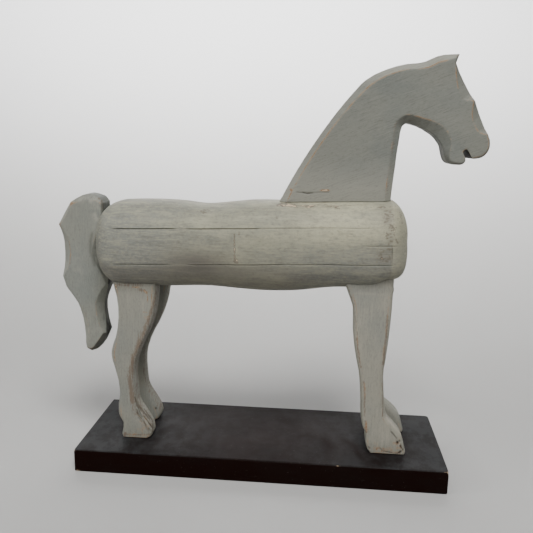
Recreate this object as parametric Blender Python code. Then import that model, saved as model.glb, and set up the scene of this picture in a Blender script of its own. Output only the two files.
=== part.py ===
"""A standing horse built up from carved wooden boards, painted grey, on a black board.

Metres, +Z up. The horse looks along +X, its right side faces -Y, and the origin is at the
centre of the base's underside. The outlines below are in millimetres: x runs forwards from
the middle of the base, and z is the height above the base's top.
"""

import math

import bmesh
import bpy
from mathutils import Vector

MM = 0.001

# The base board.
BASE_LENGTH = 457.0
BASE_WIDTH = 149.5
BASE_THICKNESS = 29.5
BASE_EDGE_ROUND = 2.0
BASE_EDGE_STEPS = 2

# The gap that touching pieces keep.
GAP = 0.3

# The torso: three glued planks carved as one round-cornered block, a little higher in front.
# Its section reaches from the bottom to the top profile about a middle line, and a power
# says how square each half is. Its ends are domes, whose powers say the same of them.
TORSO_WIDTH = 110.0
TORSO_REAR_START = -170.5
TORSO_REAR_DOME = 40.0
TORSO_REAR_POWER = 2.2
TORSO_FRONT_START = 148.4
TORSO_FRONT_DOME = 24.0
TORSO_FRONT_POWER = 2.0
TORSO_FRONT_POWER_LOW = 3.0
TORSO_TOP_POWER = 2.8
TORSO_BELLY_POWER = [(-170.5, 2.8), (20.0, 2.8), (115.0, 3.2), (148.4, 4.2)]
TORSO_MIDDLE_REAR = 252.0
TORSO_MIDDLE_FRONT = 262.0
TORSO_TOP = [
    (-170.5, 304.3), (-142.0, 305.3), (-105.0, 304.3), (-72.0, 301.2), (-45.0, 303.8),
    (-20.0, 306.6), (25.0, 307.5), (90.0, 309.6), (148.4, 311.2),
]
TORSO_BOTTOM = [
    (-170.5, 198.0), (-116.0, 199.2), (-67.0, 201.0), (-25.0, 198.2), (38.0, 198.6),
    (84.0, 204.6), (112.0, 207.0), (134.0, 211.4), (148.4, 219.4),
]
TORSO_STATIONS = 18
TORSO_DOME_STATIONS = 6
# The steps from the top to the first seam, between the seams, and on to the bottom.
SECTION_POINTS = (6, 4, 6)
POLE_SHRINK = 0.01

# The seams between the planks: each one's height from the torso's middle line, and its ends.
SEAMS = ((22.5, -176.0, 134.0), (-20.2, -180.0, 152.0))
SEAM_WIDTH = 1.6
SEAM_DEPTH = 1.2
SEAM_FADE = 12.0

NECK_THICKNESS = 37.0
TAIL_THICKNESS = 31.0
LEG_THICKNESS = 24.0
FORE_LEG_Y = 30.0
HIND_LEG_Y = 26.0

# Each leg was sawn and set by hand. These give how far forwards the rear and the front
# edge stand of where its outline has them, by height. The split lies between the edges.
FORE_LEG_SPLIT = 142.0
HIND_LEG_SPLIT = -168.0
SQUARE = [(0.0, 0.0), (200.0, 0.0)]
RIGHT_LEG_SET = (SQUARE, SQUARE)
FORE_LEG_LEFT_SET = (
    [(0.0, 4.6), (200.0, 4.6)],
    [(0.0, 4.8), (25.0, 3.6), (45.0, -1.0), (75.0, -1.5), (200.0, 3.5)],
)
HIND_LEG_LEFT_SET = (
    [(0.0, -3.4), (80.0, -3.0), (200.0, 2.5)],
    [(0.0, -3.4), (80.0, -2.4), (200.0, 2.5)],
)

# Every outline is a list of stretches that meet at corners. A point is x, z, the width of
# the carved edge on the face of the board, and the depth of that edge into its thickness.
NECK_OUTLINE = [
    [(7, 288, 1, 1), (13.5, 300, 7.5, 5), (17.8, 307.9, 8, 5), (28.5, 328.6, 7, 5), (43.5, 355, 6.7, 5),
     (59.5, 380.3, 6.7, 5), (87, 418.6, 7, 5), (101.5, 436, 7.6, 5), (111.8, 447, 8, 5),
     (121, 453, 7.4, 5), (140.6, 461.2, 6.7, 5), (156, 465.4, 6.6, 5), (172, 466.8, 7, 5),
     (179, 468.6, 7.6, 5), (187.7, 472.8, 7.4, 5), (197, 475.4, 7, 5), (207, 476.2, 6.6, 5),
     (215.3, 476, 2.5, 3)],
    [(215.3, 476, 2.5, 3), (211.9, 466.4, 1, 1.5)],
    [(211.9, 466.4, 1, 1.5), (216.2, 458.4, 4.5, 5), (221.5, 449.3, 8.6, 7),
     (226.9, 440.6, 11.2, 8), (231.3, 433.6, 11, 8), (234, 429.6, 6.5, 6),
     (235.5, 426.6, 1.5, 2)],
    [(235.5, 426.6, 1.5, 2), (238.8, 420.2, 6, 5), (242.6, 412.2, 9.8, 7),
     (246.2, 404.7, 11.4, 8), (249.8, 397.4, 10.4, 8), (252.2, 392.4, 6, 6),
     (253.6, 389.4, 2, 3)],
    [(253.6, 389.4, 2, 3), (256.1, 383.4, 2.5, 3), (256.8, 377.6, 2.5, 3),
     (255.9, 371.6, 2.5, 3), (252.8, 366.4, 2.5, 3), (247.6, 362.8, 2.5, 3),
     (242, 361.6, 2.2, 2.5), (236.6, 361.6, 1, 1)],
    [(236.6, 361.6, 1, 1), (232.6, 369.2, 0.8, 1)],
    [(232.6, 369.2, 0.8, 1), (229.8, 371.8, 0.8, 1), (226.9, 369.2, 0.8, 1)],
    [(226.9, 369.2, 0.8, 1), (230.6, 361.6, 0.8, 1)],
    [(230.6, 361.6, 0.8, 1), (230.4, 358, 1.5, 2), (227.2, 355, 2, 2.5),
     (221, 354.4, 2.5, 3), (214.6, 355, 3, 4), (210, 357.8, 3.5, 5),
     (207.2, 362.6, 4.5, 6), (205.6, 368.6, 6.5, 6), (203.6, 375.4, 10, 6),
     (199.4, 381.6, 12.5, 6), (193.6, 387.4, 13, 6), (185, 392.8, 12, 6.5),
     (175, 397.4, 9.5, 8), (168, 399.4, 9.5, 9), (162, 400, 9.5, 9),
     (158.2, 397.6, 9, 8), (156, 392.2, 8.4, 6), (155, 384.4, 8, 5),
     (153.4, 370, 8, 5), (152, 350, 8, 5), (150.2, 330, 7.6, 5), (149, 312.4, 7.4, 5),
     (148.7, 300, 7.4, 5), (148.4, 288, 1, 1)],
    [(148.4, 288, 1, 1), (7, 288, 1, 1)],
]

TAIL_OUTLINE = [
    [(-200.4, 300.4, 2, 3), (-204, 305.6, 4, 4), (-211, 309.6, 6.5, 5),
     (-219.6, 310.9, 6.5, 5), (-226.6, 309.4, 6, 5), (-234, 305.6, 5, 4),
     (-242.2, 300.2, 3, 3)],
    [(-242.2, 300.2, 3, 3), (-251.2, 284.8, 4, 3), (-258, 272.6, 1.5, 2)],
    [(-258, 272.6, 1.5, 2), (-256.6, 263, 6, 6), (-255.3, 252, 10, 9), (-254.8, 240, 11, 9),
     (-255, 228, 10, 9), (-255.7, 216, 6.5, 6), (-256.4, 206.4, 2, 2)],
    [(-256.4, 206.4, 2, 2), (-252.6, 191.6, 2.5, 3), (-245.2, 181, 2.5, 3),
     (-239, 171.6, 3, 3), (-234.9, 158.8, 5.5, 4), (-232.7, 143.4, 7, 5),
     (-231.5, 128, 6.5, 5), (-231, 117, 3.5, 3), (-229, 110, 3, 3),
     (-224, 106.5, 4, 5)],
    [(-224, 106.5, 4, 5), (-217.8, 108, 5.5, 8), (-210.8, 115.4, 6, 9),
     (-206, 124, 5, 8), (-203, 132.6, 3, 4)],
    [(-203, 132.6, 3, 4), (-204.2, 146, 7, 9), (-205.6, 160, 8.5, 10),
     (-205, 174, 8.5, 10), (-201.4, 186, 6.5, 8), (-197.4, 197.6, 2, 2)],
    [(-197.4, 197.6, 2, 2), (-198.4, 210, 6, 6), (-203, 222, 8.6, 8), (-206.6, 234, 9.5, 8),
     (-207, 245, 9, 8), (-205.6, 256, 6, 6), (-201.8, 274, 4, 5), (-200.2, 290, 2, 3),
     (-200.4, 300.4, 2, 3)],
]

HIND_LEG_OUTLINE = [
    [(-187, 222, 1, 1), (-184.8, 206.7, 4, 4), (-181.2, 192.3, 4, 4),
     (-179, 178, 4, 4), (-178.8, 166, 4, 4), (-179.7, 153, 4, 4), (-182.3, 138, 4, 4),
     (-186.8, 125.4, 4.5, 4), (-189.6, 114, 5, 4), (-188.8, 105, 5, 4),
     (-186, 94, 4.5, 4), (-182.8, 83, 4, 4), (-181.2, 72, 4, 4), (-180.6, 56, 4, 4),
     (-182.8, 46, 4.5, 4), (-183.2, 38, 4.5, 4), (-182.2, 30, 4, 3.5),
     (-179.6, 25, 3, 3), (-176.8, 20.6, 2, 2)],
    [(-176.8, 20.6, 2, 2), (-177, 15.5, 2.5, 2.5), (-178.3, 9, 3, 3),
     (-178.8, 3.6, 2.5, 2.5), (-176.6, 0, 1.2, 1.2)],
    [(-176.6, 0, 1.2, 1.2), (-146.5, 0, 1.2, 1.2)],
    [(-146.5, 0, 1.2, 1.2), (-141.2, 2, 3, 3), (-138.6, 8, 5, 5), (-139.2, 15, 6, 6),
     (-142, 22.4, 6.5, 6), (-146.4, 30, 6.5, 6), (-151.2, 37, 6.5, 6),
     (-155, 43.4, 7, 6), (-157.8, 51, 7.5, 6), (-159, 62, 8, 6), (-160, 80, 7.5, 6),
     (-159.9, 94, 6, 5), (-158, 104, 5, 5), (-154.8, 114, 4, 5), (-150.6, 124, 3.5, 5),
     (-140.6, 144, 3.5, 5), (-136.6, 155, 3.5, 5), (-132.8, 168, 4, 5),
     (-130.3, 182, 4.5, 5), (-129.3, 198, 5, 5), (-129, 222, 1, 1)],
    [(-129, 222, 1, 1), (-187, 222, 1, 1)],
]

FORE_LEG_OUTLINE = [
    [(95, 232, 1, 1), (98.6, 214, 5, 4), (101.7, 204.8, 5, 4), (106, 195.4, 4.5, 4),
     (109, 186, 4, 4), (110.2, 172, 4, 4), (110.6, 158, 4, 4), (113, 138, 4, 4),
     (116, 121, 4.5, 4), (119.6, 106, 4.5, 4), (122, 90, 4.5, 4), (124, 66, 5, 4),
     (125.2, 46, 5, 4), (127.8, 33.4, 4, 3.5), (131.8, 25.4, 2, 2)],
    [(131.8, 25.4, 2, 2), (131.5, 18, 3, 3), (132.4, 11, 3, 3), (135, 4, 2.5, 2.5),
     (138.6, 0, 1.2, 1.2)],
    [(138.6, 0, 1.2, 1.2), (180, 0, 1.2, 1.2)],
    [(180, 0, 1.2, 1.2), (181.3, 2.4, 2, 2), (180.8, 8, 3.5, 4), (178.8, 16, 4.5, 5),
     (175.7, 24.4, 5, 5), (171.6, 31, 5, 5), (161.2, 42, 5, 5), (157, 48, 5, 5),
     (154.6, 55, 5, 5), (153, 66, 5, 5), (150.1, 94, 5, 5), (149.6, 105, 5, 5),
     (151.8, 124, 5, 5), (152.8, 138, 5.5, 5), (154.2, 160, 5.5, 5),
     (155.3, 184, 5, 5), (155.5, 205, 5, 5), (155.3, 232, 1, 1)],
    [(155.3, 232, 1, 1), (95, 232, 1, 1)],
]

# The steps that round a carved edge: the neck and tail are bevelled, the legs rounded.
BEVEL = 1
LEG_ROUNDS = 2

# How finely the outlines are followed: the step along a smooth curve, the turn, the run
# and the change of edge width that call for a point, and the room that a corner keeps, in
# edge widths. A corner's carved edge is drawn in by at most its width over SHARPEST.
SAMPLE_STEP = 1.0
MOST_TURN = math.radians(9)
LONGEST_CHORD = 13.0
MOST_EDGE_CHANGE = 2.0
CORNER_CLEARANCE = 1.5
SHARPEST = 0.6

GREY_PAINT = (0.225, 0.228, 0.205, 1.0)
GREY_PAINT_WARM = (0.285, 0.275, 0.235, 1.0)
BLACK_PAINT = (0.022, 0.021, 0.021, 1.0)
MATT = 0.75
SATIN = 0.4


def clear_scene():
    for obj in list(bpy.data.objects):
        bpy.data.objects.remove(obj, do_unlink=True)


def paint(name, color, roughness):
    material = bpy.data.materials.new(name)
    material.use_nodes = True
    shader = material.node_tree.nodes["Principled BSDF"]
    shader.inputs["Base Color"].default_value = color
    shader.inputs["Roughness"].default_value = roughness
    shader.inputs["Metallic"].default_value = 0.0
    return material


def add_object(name, bm, material):
    """Makes an object of the bmesh, whose points are millimetres above the base's top."""
    for vert in bm.verts:
        vert.co = Vector((vert.co.x, vert.co.y, vert.co.z + BASE_THICKNESS)) * MM
    bmesh.ops.recalc_face_normals(bm, faces=bm.faces)
    mesh = bpy.data.meshes.new(name)
    bm.to_mesh(mesh)
    bm.free()
    mesh.materials.append(material)
    obj = bpy.data.objects.new(name, mesh)
    bpy.context.scene.collection.objects.link(obj)
    return obj


def between(start, end, leaving, arriving, t):
    """The point at share t of a cubic that leaves and arrives at the given rates."""
    rise = 3 * t**2 - 2 * t**3
    first = t**3 - 2 * t**2 + t
    last = t**3 - t**2
    rows = zip(start, end, leaving, arriving)
    return [a + (b - a) * rise + m * first + n * last for a, b, m, n in rows]


def smooth_curve(points, step):
    """Points about a step apart on the smooth curve through the given points."""
    last = len(points) - 1
    chords = [math.dist(points[i][:2], points[i + 1][:2]) for i in range(last)]

    def slope(i):
        """The curve's rate of change at a point, by the parabola through its neighbours."""
        if last == 1 or i == 0:
            return [(q - p) / chords[0] for p, q in zip(points[0], points[1])]
        if i == last:
            return [(q - p) / chords[-1] for p, q in zip(points[-2], points[-1])]
        before, after = chords[i - 1], chords[i]
        return [
            ((q - p) / before * after + (r - q) / after * before) / (before + after)
            for p, q, r in zip(points[i - 1], points[i], points[i + 1])
        ]

    slopes = [slope(i) for i in range(last + 1)]
    curve = []
    for i in range(last):
        leaving = [rate * chords[i] for rate in slopes[i]]
        arriving = [rate * chords[i] for rate in slopes[i + 1]]
        count = max(1, round(chords[i] / step))
        for k in range(count):
            share = k / count
            curve.append(between(points[i], points[i + 1], leaving, arriving, share))
    curve.append(list(points[last]))
    return curve


def thin_out(curve):
    """Keeps the ends and the points where the curve has turned or run on far enough.

    Close to an end no point is kept, so that the carved edge does not cross itself there.
    """
    ends = [(end, CORNER_CLEARANCE * end[2]) for end in (curve[0], curve[-1])]
    kept = [curve[0]]
    heading = None
    for before, here, after in zip(curve, curve[1:], curve[2:]):
        arriving = math.atan2(here[1] - before[1], here[0] - before[0])
        leaving = math.atan2(after[1] - here[1], after[0] - here[0])
        if heading is None:
            heading = arriving
        turned = abs(math.remainder(leaving - heading, math.tau))
        run = math.dist(here[:2], kept[-1][:2])
        carved = abs(here[2] - kept[-1][2])
        if any(math.dist(here[:2], end[:2]) < clearance for end, clearance in ends):
            continue
        if turned > MOST_TURN or run > LONGEST_CHORD or carved > MOST_EDGE_CHANGE:
            kept.append(here)
            heading = leaving
    kept.append(curve[-1])
    return kept


def closed_outline(stretches):
    """One anticlockwise loop of x, z, edge width and edge depth."""
    loop = []
    for stretch in stretches:
        loop += thin_out(smooth_curve(stretch, SAMPLE_STEP))[:-1]
    area = sum(
        a[0] * b[1] - b[0] * a[1] for a, b in zip(loop, loop[1:] + loop[:1])
    )
    return loop if area > 0 else loop[::-1]


def inward(loop, index):
    """The step inwards at a point of an anticlockwise loop that keeps the edge's width."""
    before = Vector(loop[index - 1][:2])
    here = Vector(loop[index][:2])
    after = Vector(loop[(index + 1) % len(loop)][:2])
    first = (here - before).normalized()
    second = (after - here).normalized()
    normal = (Vector((-first.y, first.x)) + Vector((-second.y, second.x))).normalized()
    return normal / max(SHARPEST, normal.dot(Vector((-first.y, first.x))))


def edge_rings(rounds):
    """Each ring's side, and how far along the edge's width and depth it lies."""
    half = []
    for k in range(rounds + 1):
        angle = math.pi / 2 * k / rounds
        half.append((1 - math.sin(angle), 1 - math.cos(angle)))
    rings = [(-1, width, depth) for width, depth in half]
    return rings + [(1, width, depth) for width, depth in reversed(half)]


def board(name, stretches, thickness, middle_y, rounds, material):
    """A board of this outline, with its edges carved back by each point's width and depth."""
    loop = closed_outline(stretches)
    steps = [inward(loop, i) for i in range(len(loop))]
    bm = bmesh.new()
    rings = []
    for side, along_width, along_depth in edge_rings(rounds):
        ring = []
        for (x, z, width, depth), step in zip(loop, steps):
            spot = Vector((x, z)) + step * width * along_width
            y = side * (thickness / 2 - depth * along_depth)
            ring.append(bm.verts.new((spot.x, middle_y + y, spot.y)))
        rings.append(ring)
    count = len(loop)
    for one, two in zip(rings, rings[1:]):
        for i in range(count):
            j = (i + 1) % count
            bm.faces.new((one[i], one[j], two[j], two[i]))
    bm.faces.new(rings[0])
    bm.faces.new(rings[-1])
    return add_object(name, bm, material)


def height_at(profile, x):
    """The height of a smooth profile over x, level beyond its ends."""
    x = min(max(x, profile[0][0]), profile[-1][0])
    curve = smooth_curve(profile, SAMPLE_STEP)
    for a, b in zip(curve, curve[1:]):
        if x <= b[0]:
            return a[1] + (b[1] - a[1]) * (x - a[0]) / (b[0] - a[0])
    return curve[-1][1]


def torso_middle(x):
    length = TORSO_FRONT_START - TORSO_REAR_START
    share = (x - TORSO_REAR_START) / length
    return TORSO_MIDDLE_REAR + (TORSO_MIDDLE_FRONT - TORSO_MIDDLE_REAR) * share


def dome_shrink(run, power):
    """What is left of the section at a share of the way out along a rounded end."""
    return max(0.0, 1 - run**power) ** (1 / power)


def torso_stations():
    """Each station's x and how much the rounded ends shrink the section there.

    The shrinkage is given for the section's upper half and for its bottom.
    """
    stations = []
    for k in range(TORSO_DOME_STATIONS, 0, -1):
        run = math.sin(math.pi / 2 * k / TORSO_DOME_STATIONS)
        shrink = dome_shrink(run, TORSO_REAR_POWER)
        stations.append((TORSO_REAR_START - TORSO_REAR_DOME * run, shrink, shrink))
    for k in range(TORSO_STATIONS + 1):
        share = k / TORSO_STATIONS
        x = TORSO_REAR_START + (TORSO_FRONT_START - TORSO_REAR_START) * share
        stations.append((x, 1.0, 1.0))
    for k in range(1, TORSO_DOME_STATIONS + 1):
        run = math.sin(math.pi / 2 * k / TORSO_DOME_STATIONS)
        high = dome_shrink(run, TORSO_FRONT_POWER)
        low = dome_shrink(run, TORSO_FRONT_POWER_LOW)
        stations.append((TORSO_FRONT_START + TORSO_FRONT_DOME * run, high, low))
    return stations


def seam_depth(seam, x):
    """How deep a seam is at x: it fades out before the rounded ends."""
    _, rear_end, front_end = seam
    inside = min(x - rear_end, front_end - x)
    return SEAM_DEPTH * min(1.0, max(0.0, inside / SEAM_FADE))


class Section:
    """The torso's section at x: how far it reaches up and down, and how square it is."""

    def __init__(self, x):
        self.middle = torso_middle(x)
        self.up = height_at(TORSO_TOP, x) - self.middle
        self.down = self.middle - height_at(TORSO_BOTTOM, x)
        self.belly_power = height_at(TORSO_BELLY_POWER, x)

    def half(self, angle):
        """The reach and the power of the half that an angle lies in."""
        if angle > 0:
            return self.up, TORSO_TOP_POWER
        return self.down, self.belly_power

    def angle_of(self, height):
        reach, power = self.half(height)
        return math.copysign(math.asin((abs(height) / reach) ** (power / 2)), height)

    def point(self, angle):
        """The section's point at an angle: y and the height above the middle line."""
        reach, power = self.half(angle)
        height = math.copysign(abs(math.sin(angle)) ** (2 / power) * reach, angle)
        return TORSO_WIDTH / 2 * abs(math.cos(angle)) ** (2 / power), height


def section_entries(section):
    """The section's points from its top to its bottom, as angles, with each seam's edges.

    Each entry is an angle and the seam whose bottom lies there, or None. The seams keep
    their heights, and every section has the same number of points.
    """
    half = SEAM_WIDTH / 2
    entries = [(math.pi / 2, None)]
    marks = [(seam[0] + lift, seam if lift == 0 else None) for seam in SEAMS
             for lift in (half, 0, -half)]
    counts = (SECTION_POINTS[0], 1, 1, SECTION_POINTS[1], 1, 1, SECTION_POINTS[2])
    ends = [(section.angle_of(height), seam) for height, seam in marks]
    ends.append((-math.pi / 2, None))
    for (end, seam), count in zip(ends, counts):
        start = entries[-1][0]
        entries += [(start + (end - start) * k / count, None) for k in range(1, count)]
        entries.append((end, seam))
    return entries


def torso_section(x, grow, with_seams):
    """The middle height at x and half of the section there: rows of y and height."""
    section = Section(x)
    rows = []
    for angle, seam in section_entries(section):
        y, height = section.point(angle)
        if with_seams and seam:
            y -= seam_depth(seam, x)
        rows.append((y * (1 + 2 * grow / TORSO_WIDTH), height * (1 + grow / section.up)))
    rows[0] = (0.0, rows[0][1])
    rows[-1] = (0.0, rows[-1][1])
    return section.middle, rows


def torso_mesh(grow, with_seams):
    """The torso's surface, moved outwards by grow."""
    bm = bmesh.new()
    rings = []
    for x, high, low in torso_stations():
        middle, half = torso_section(x, grow, with_seams)
        if x < TORSO_REAR_START:
            x -= grow
        if x > TORSO_FRONT_START:
            x += grow
        points = half + [(-y, z) for y, z in half[-2:0:-1]]
        if high < POLE_SHRINK:
            rings.append([bm.verts.new((x, 0, middle))])
            continue
        ring = []
        for y, z in points:
            shrink = high + (low - high) * max(0.0, z / half[-1][1])
            ring.append(bm.verts.new((x, y * shrink, middle + z * shrink)))
        rings.append(ring)
    for one, two in zip(rings, rings[1:]):
        count = max(len(one), len(two))
        for i in range(count):
            j = (i + 1) % count
            if len(one) == 1:
                bm.faces.new((one[0], two[i], two[j]))
            elif len(two) == 1:
                bm.faces.new((one[i], one[j], two[0]))
            else:
                bm.faces.new((one[i], one[j], two[j], two[i]))
    return bm


def make_torso(material):
    return add_object("torso", torso_mesh(0.0, True), material)


def make_torso_cutter(material):
    """The hidden shape of the torso with its gap, which cuts the boards to fit it."""
    cutter = add_object("torso_cutter", torso_mesh(GAP, False), material)
    cutter.hide_render = True
    cutter.display_type = "WIRE"
    return cutter


def fit_to_torso(obj, cutter):
    cut = obj.modifiers.new("fit_to_torso", "BOOLEAN")
    cut.operation = "DIFFERENCE"
    cut.solver = "EXACT"
    cut.object = cutter


def make_base(material):
    bm = bmesh.new()
    bmesh.ops.create_cube(bm, size=1.0)
    for vert in bm.verts:
        vert.co.x *= BASE_LENGTH
        vert.co.y *= BASE_WIDTH
        vert.co.z = (vert.co.z - 0.5) * BASE_THICKNESS
    bmesh.ops.bevel(
        bm,
        geom=bm.edges[:],
        offset=BASE_EDGE_ROUND,
        segments=BASE_EDGE_STEPS,
        profile=0.5,
        affect="EDGES",
    )
    return add_object("base", bm, material)


def make_leg(name, outline, split, setting, middle_y, material):
    """A leg board standing its gap above the base, with its edges set by hand."""
    stretches = []
    for stretch in outline:
        moved = []
        for x, z, width, depth in stretch:
            forwards = height_at(setting[x > split], z)
            moved.append((x + forwards, z + GAP, width, depth))
        stretches.append(moved)
    return board(name, stretches, LEG_THICKNESS, middle_y, LEG_ROUNDS, material)


def main():
    clear_scene()
    grey = paint("grey_paint", GREY_PAINT, MATT)
    warm = paint("grey_paint_warm", GREY_PAINT_WARM, MATT)
    black = paint("black_paint", BLACK_PAINT, SATIN)

    make_base(black)
    make_torso(warm)
    cutter = make_torso_cutter(warm)
    boards = [
        board("neck_and_head", NECK_OUTLINE, NECK_THICKNESS, 0.0, BEVEL, grey),
        board("tail", TAIL_OUTLINE, TAIL_THICKNESS, 0.0, BEVEL, grey),
    ]
    for side, y_sign, fore_set, hind_set in (
        ("right", -1, RIGHT_LEG_SET, RIGHT_LEG_SET),
        ("left", 1, FORE_LEG_LEFT_SET, HIND_LEG_LEFT_SET),
    ):
        fore_y, hind_y = y_sign * FORE_LEG_Y, y_sign * HIND_LEG_Y
        fore = (FORE_LEG_OUTLINE, FORE_LEG_SPLIT, fore_set, fore_y)
        hind = (HIND_LEG_OUTLINE, HIND_LEG_SPLIT, hind_set, hind_y)
        boards.append(make_leg("fore_leg_" + side, *fore, grey))
        boards.append(make_leg("hind_leg_" + side, *hind, grey))
    for obj in boards:
        fit_to_torso(obj, cutter)


main()
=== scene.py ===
"""The finish of a standing horse built up from carved boards, on a black base board.

The horse is painted grey and rubbed back to the wood along its ridges. Metres, +Z up, in
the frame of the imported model. The named places below are in millimetres: x runs forwards
from the middle of the base, and z is the height above the base's top.
"""

import math

import bmesh
import bpy
import numpy as np
from mathutils import Matrix, Vector
from mathutils.bvhtree import BVHTree
from mathutils.kdtree import KDTree


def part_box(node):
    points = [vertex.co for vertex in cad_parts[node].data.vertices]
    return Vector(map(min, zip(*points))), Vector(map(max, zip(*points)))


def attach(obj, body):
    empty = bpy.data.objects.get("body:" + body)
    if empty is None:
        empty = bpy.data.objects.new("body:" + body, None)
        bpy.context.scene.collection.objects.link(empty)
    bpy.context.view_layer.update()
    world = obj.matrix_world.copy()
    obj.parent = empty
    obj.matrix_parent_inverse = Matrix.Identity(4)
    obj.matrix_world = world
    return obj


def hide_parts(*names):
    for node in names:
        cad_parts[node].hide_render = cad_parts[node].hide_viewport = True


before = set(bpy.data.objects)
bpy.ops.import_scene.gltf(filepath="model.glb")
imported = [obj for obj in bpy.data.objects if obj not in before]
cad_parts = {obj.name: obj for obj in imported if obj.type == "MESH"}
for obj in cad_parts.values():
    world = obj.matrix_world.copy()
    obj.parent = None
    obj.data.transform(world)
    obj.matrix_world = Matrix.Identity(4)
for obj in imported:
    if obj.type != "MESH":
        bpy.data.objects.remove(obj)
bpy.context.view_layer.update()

MM = 0.001
BODY = "root"
RIGHT, LEFT = -1, 1
BASE_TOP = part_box("base")[1].z / MM

# The photograph's frame, and the camera that was fitted to the base board's corners in it.
IMAGE_WIDTH = 533
FOCAL_PIXELS = 604.56
SENSOR_WIDTH = 36.0
CAMERA_PLACE = (0.06527, -0.73648, 0.41291)
CAMERA_YAW = math.radians(4.9016)
CAMERA_PITCH = math.radians(-12.1543)
CAMERA_ROLL = math.radians(-0.88735)

# The boards are remeshed this finely and set back on the solid away from its ridges.
VOXEL = 0.8
NECK_VOXEL = 1.0
RIDGE_ANGLE = math.radians(16)
RIDGE_STEP = 0.5
FACE_RIDGE = 1.0
OUTER_RIDGE = 0.5

# Where each piece's random values start.
NECK_SEED = 11
TAIL_SEED = 23
LEG_SEED = 31
TORSO_SEED = 40
BASE_SEED = 70

# How deep the hand-worked surfaces wave and ripple, in millimetres.
BOARD_WAVES = 0.1
BOARD_RIPPLES = 0.04
RIDGE_SOFTNESS = 0.12
RIDGE_REACH = 1.2
TORSO_WAVES = 0.2
TORSO_RIPPLES = 0.06
PLANK_STEP = 0.1
BASE_WAVES = 0.06
BASE_RIPPLES = 0.02

# The torso's driving sizes, as the solid has them.
TORSO_WIDTH = 110.0
TORSO_REAR_START = -170.5
TORSO_REAR_DOME = 40.0
TORSO_REAR_POWER = 2.2
TORSO_FRONT_START = 148.4
TORSO_FRONT_DOME = 24.0
TORSO_FRONT_POWER = 2.0
TORSO_FRONT_POWER_LOW = 3.0
TORSO_TOP_POWER = 2.8
TORSO_BELLY_POWER = [(-170.5, 2.8), (20.0, 2.8), (115.0, 3.2), (148.4, 4.2)]
TORSO_MIDDLE_REAR = 252.0
TORSO_MIDDLE_FRONT = 262.0
TORSO_TOP = [
    (-170.5, 304.3), (-142, 305.3), (-105, 304.3), (-72, 301.2), (-45, 303.8), (-20, 306.6), (25, 307.5),
    (90, 309.6), (148.4, 311.2),
]
TORSO_BOTTOM = [
    (-170.5, 198), (-116, 199.2), (-67, 201), (-25, 198.2), (38, 198.6), (84, 204.6), (112, 207),
    (134, 211.4), (148.4, 219.4),
]
TORSO_REAR_RINGS = 36
TORSO_FRONT_RINGS = 30
TORSO_STRAIGHT_RINGS = 188
TORSO_HALF_POINTS = 164
TORSO_CURVE_POINTS = 3000
BUTT_JOINT_RINGS = np.arange(148.7, 151.2, 0.3)
PALE_BUTT_RINGS = np.arange(-29.6, -26.2, 0.4)

# Each seam's height from the middle line, and the stretches along x where it stands open,
# with how open it is there.
UPPER_SEAM = (22.5, [(-176, -99, 1.0), (-89, 0, 0.8), (0, 80, 0.45), (70, 128, 0.3)])
LOWER_SEAM = (-20.2, [(-178, -107, 0.8), (-85, 30, 0.9), (30, 152, 0.75)])
SHORT_CRACK = (2.2, [(116, 158, 0.5)])
SEAM_DEPTH = 1.1
SEAM_HALF_WIDTH = 0.45
SEAM_FADE = 9.0


class Noise:
    """Smooth noise from -1 to 1 over a seeded lattice of random values, which repeats."""

    SIZE = 32

    def __init__(self, seed):
        self.values = np.random.default_rng(seed).uniform(-1, 1, (self.SIZE,) * 3)

    def __call__(self, points, cell):
        """The noise at each row of points, with cells of these lengths along the axes."""
        scaled = points / np.array(cell)
        corner = np.floor(scaled).astype(int)
        share = scaled - corner
        share = share * share * (3 - 2 * share)
        total = np.zeros(len(points))
        for step in np.ndindex(2, 2, 2):
            weight = np.prod(np.where(step, share, 1 - share), axis=1)
            total += weight * self.values[tuple(((corner + step) % self.SIZE).T)]
        return total


def smoothstep(low, high, values):
    share = np.clip((values - low) / (high - low), 0, 1)
    return share * share * (3 - 2 * share)


def grain_frame(points, angle):
    """Points in axes along the grain, through the board, and across the grain."""
    cos, sin = math.cos(angle), math.sin(angle)
    along = points[:, 0] * cos + points[:, 2] * sin
    across = points[:, 2] * cos - points[:, 0] * sin
    return np.column_stack([along, points[:, 1], across])


def spot(points, mark):
    """How near each point is to a rubbed or stained spot: x, z, its reaches and strength."""
    x, z, reach_x, reach_z, strength = mark
    far = ((points[:, 0] - x) / reach_x) ** 2 + ((points[:, 2] - z) / reach_z) ** 2
    return strength * np.exp(-far)


def spots(points, marks):
    return sum((spot(points, mark) for mark in marks), np.zeros(len(points)))


def stroke(points, route, half_width):
    """How near each point is to a line that runs along a route."""
    nearest = np.full(len(points), np.inf)
    for start, end in zip(route, route[1:]):
        start, run = np.array(start, float), np.subtract(end, start)
        share = np.clip((points - start) @ run / (run @ run), 0, 1)
        gap = points - start - share[:, None] * run
        nearest = np.minimum(nearest, np.linalg.norm(gap, axis=1))
    return np.exp(-((nearest / half_width) ** 2))


def strokes(points, marks, face=0):
    """The strongest of several lines: each is a strength, a half-width and its route.

    A place in a route that is given by its x and z alone lies on the face, whose y is given.
    """
    strongest = np.zeros(len(points))
    for strength, half_width, *route in marks:
        route = [place if len(place) == 3 else (place[0], face, place[1]) for place in route]
        strongest = np.maximum(strongest, strength * stroke(points, route, half_width))
    return strongest


def to_marks(places):
    """Places in metres as rows of millimetres above the base's top."""
    return np.array(places) / MM - (0, 0, BASE_TOP)


def to_frame(points):
    """Rows of millimetres above the base's top as places in metres."""
    return (points + (0, 0, BASE_TOP)) * MM


def mesh_points(mesh):
    places = np.empty(len(mesh.vertices) * 3)
    mesh.vertices.foreach_get("co", places)
    return to_marks(places.reshape(-1, 3))


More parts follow.
